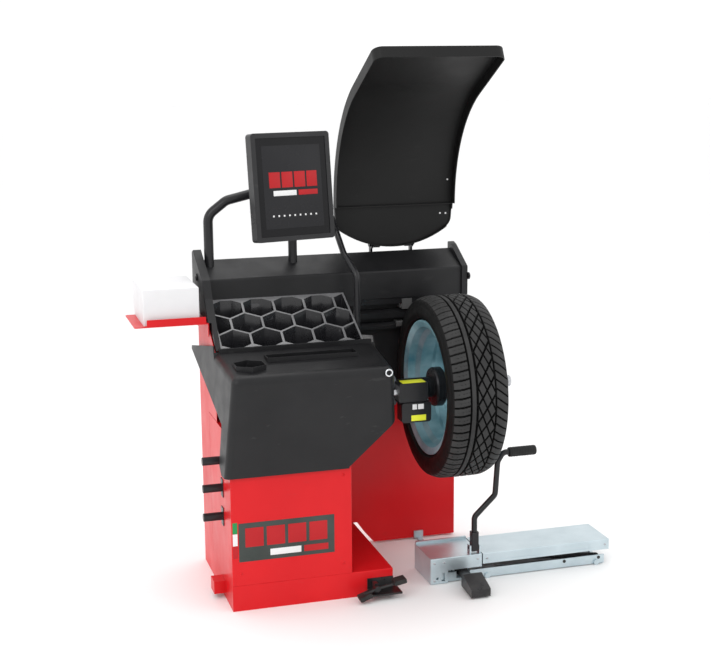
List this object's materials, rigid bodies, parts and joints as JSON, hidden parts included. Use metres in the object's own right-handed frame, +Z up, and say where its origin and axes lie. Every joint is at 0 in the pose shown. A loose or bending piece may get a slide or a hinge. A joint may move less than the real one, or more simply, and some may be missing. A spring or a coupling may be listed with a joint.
{
  "type": "wheel balancer",
  "caption": "Motorised wheel balancer with a mounted road wheel, an open wheel guard, a display on a tube stand, a weight tray and a low wheel lift.",
  "frame": {"origin": "centre of the four anchor holes, on the floor under the base", "axes": "+X along the spindle towards the wheel, +Y to the rear, +Z up; the operator stands on the -Y side"},
  "size_m": [1.642, 0.826, 1.8485],
  "materials": {
    "red_paint": "gloss powder coat",
    "black_plastic": "moulded, finely grained",
    "guard_plastic": "moulded, smooth",
    "screen_glass": "dark display",
    "black_paint": "satin black paint",
    "machined_steel": "turned and ground",
    "galvanised": "zinc plated sheet",
    "chrome_plate": "plated",
    "rim_alloy": "painted alloy",
    "tyre_rubber": "moulded tread",
    "soft_rubber": "moulded",
    "red_plastic": "moulded",
    "white_card": "smooth white",
    "bronze": "turned",
    "motor_grey": "cast housing",
    "lamp_plastic": "lamp lens and body"
  },
  "bodies": {
    "machine": {"base_plinth": "red_paint", "front_cabinet": "red_paint", "rear_column": "red_paint", "rear_panel": "red_paint", "top_beam": "black_paint", "front_cover": "black_plastic", "lock_ring": "chrome_plate", "weight_tray": "black_plastic", "shelf": "black_plastic", "left_cheek": "black_plastic", "right_cheek": "black_plastic", "backing_panel": "black_plastic", "work_lamp": "lamp_plastic", "side_tray": "red_paint", "accessory_box": "white_card", "storage_pegs": "black_paint", "monitor_arch": "black_paint", "monitor_post": "black_paint", "monitor_strut": "black_paint", "monitor_bracket": "black_paint", "spindle_housing": "motor_grey", "spindle_bearings": "machined_steel", "drive_motor": "motor_grey", "drive_belt": "soft_rubber", "power_box": "black_plastic", "power_inlet": "black_plastic", "guard_brackets": "black_paint", "gauge_bush": "bronze", "pedal_bracket": "black_paint", "lift_housing": "galvanised", "lift_floor_frame": "galvanised", "lift_bracket": "galvanised"},
    "spindle": {"spindle_shaft": "machined_steel", "spindle_pulley": "machined_steel", "encoder_disc": "machined_steel", "hub_flange": "machined_steel", "centring_cone": "machined_steel", "wheel_rim": "rim_alloy", "tyre": "tyre_rubber"},
    "nut": {"quick_nut": "black_plastic"},
    "motor_rotor": {"motor_pulley": "machined_steel"},
    "switch_knob": {"main_switch": "red_plastic"},
    "guard": {"guard_hood": "guard_plastic", "guard_flap": "guard_plastic", "guard_frame": "black_paint"},
    "monitor_swivel": {"monitor_yoke": "black_paint"},
    "monitor": {"monitor_housing": "black_plastic", "monitor_bezel": "black_plastic", "monitor_screen": "screen_glass"},
    "gauge_carriage": {"gauge_rod": "machined_steel"},
    "gauge": {"gauge_arm": "black_plastic", "gauge_head": "black_plastic"},
    "brake_pedal": {"pedal_lever": "black_paint", "pedal_pads": "soft_rubber"},
    "lift_near": {"lift_arms_near": "black_paint"},
    "lift_far": {"lift_arms_far": "black_paint"},
    "platform": {"lift_platform": "galvanised"},
    "lift_lever": {"lift_handle": "black_paint", "lift_grip": "soft_rubber"},
    "foot_pedal": {"lift_pedal": "black_plastic"}
  },
  "joints": [
    {"name": "guard_hinge", "type": "hinge", "parent": "machine", "child": "guard", "pos_m": [0.471, 0.3475, 1.128], "axis": [1, 0, 0], "range_deg": [0, 66]},
    {"name": "spindle_spin", "type": "hinge", "parent": "machine", "child": "spindle", "pos_m": [0.321, -0.1425, 0.689], "axis": [1, 0, 0], "continuous": true},
    {"name": "motor_spin", "type": "hinge", "parent": "machine", "child": "motor_rotor", "pos_m": [-0.079, -0.0585, 0.43], "axis": [1, 0, 0], "continuous": true},
    {"name": "nut_slide", "type": "slide", "parent": "spindle", "child": "nut", "axis": [1, 0, 0], "range_m": [0, 0.06]},
    {"name": "gauge_slide", "type": "slide", "parent": "machine", "child": "gauge_carriage", "axis": [1, 0, 0], "range_m": [-0.01, 0.035]},
    {"name": "gauge_swing", "type": "hinge", "parent": "gauge_carriage", "child": "gauge", "pos_m": [0.351, -0.2335, 0.703], "axis": [1, 0, 0], "range_deg": [-40, 0]},
    {"name": "monitor_pan", "type": "hinge", "parent": "machine", "child": "monitor_swivel", "pos_m": [0.02622, 0.2119, 1.35], "axis": [0, 0, 1], "range_deg": [-35, 10]},
    {"name": "monitor_tilt", "type": "hinge", "parent": "monitor_swivel", "child": "monitor", "pos_m": [0.02622, 0.2119, 1.36304], "axis": [0.9767, 0.2147, 0], "range_deg": [-10, 12]},
    {"name": "brake_rock", "type": "hinge", "parent": "machine", "child": "brake_pedal", "pos_m": [0.205, -0.2985, 0.046], "axis": [0, 1, 0], "range_deg": [0, 18], "stiffness_Nm_per_rad": 2, "springref_deg": -5.73},
    {"name": "switch_turn", "type": "hinge", "parent": "machine", "child": "switch_knob", "pos_m": [0.051, 0.2715, 0.38], "axis": [0, 1, 0], "range_deg": [0, 90]},
    {"name": "lift_swing", "type": "hinge", "parent": "machine", "child": "lift_near", "pos_m": [0.936, -0.152, 0.026], "axis": [0, 1, 0], "range_deg": [0, 56]},
    {"name": "lift_far_swing", "type": "hinge", "parent": "machine", "child": "lift_far", "pos_m": [1.071, -0.152, 0.026], "axis": [0, 1, 0], "range_deg": [0, 56]},
    {"name": "platform_level", "type": "hinge", "parent": "lift_near", "child": "platform", "pos_m": [0.63764, -0.152, 0.05736], "axis": [0, 1, 0], "range_deg": [-56, 0]},
    {"name": "handle_turn", "type": "hinge", "parent": "machine", "child": "lift_lever", "pos_m": [0.594, -0.2165, 0.115], "axis": [1, 0, 0], "range_deg": [0, 70]},
    {"name": "foot_pedal_turn", "type": "hinge", "parent": "machine", "child": "foot_pedal", "pos_m": [0.548, -0.1985, 0.03], "axis": [1, 0, 0], "range_deg": [-8, 0]}
  ],
  "couplings": [
    {"joint": "motor_spin", "follows": "spindle_spin", "ratio": 2.8},
    {"joint": "lift_far_swing", "follows": "lift_swing", "ratio": 1},
    {"joint": "platform_level", "follows": "lift_swing", "ratio": -1},
    {"joint": "handle_turn", "follows": "lift_swing", "ratio": 1.25}
  ]
}
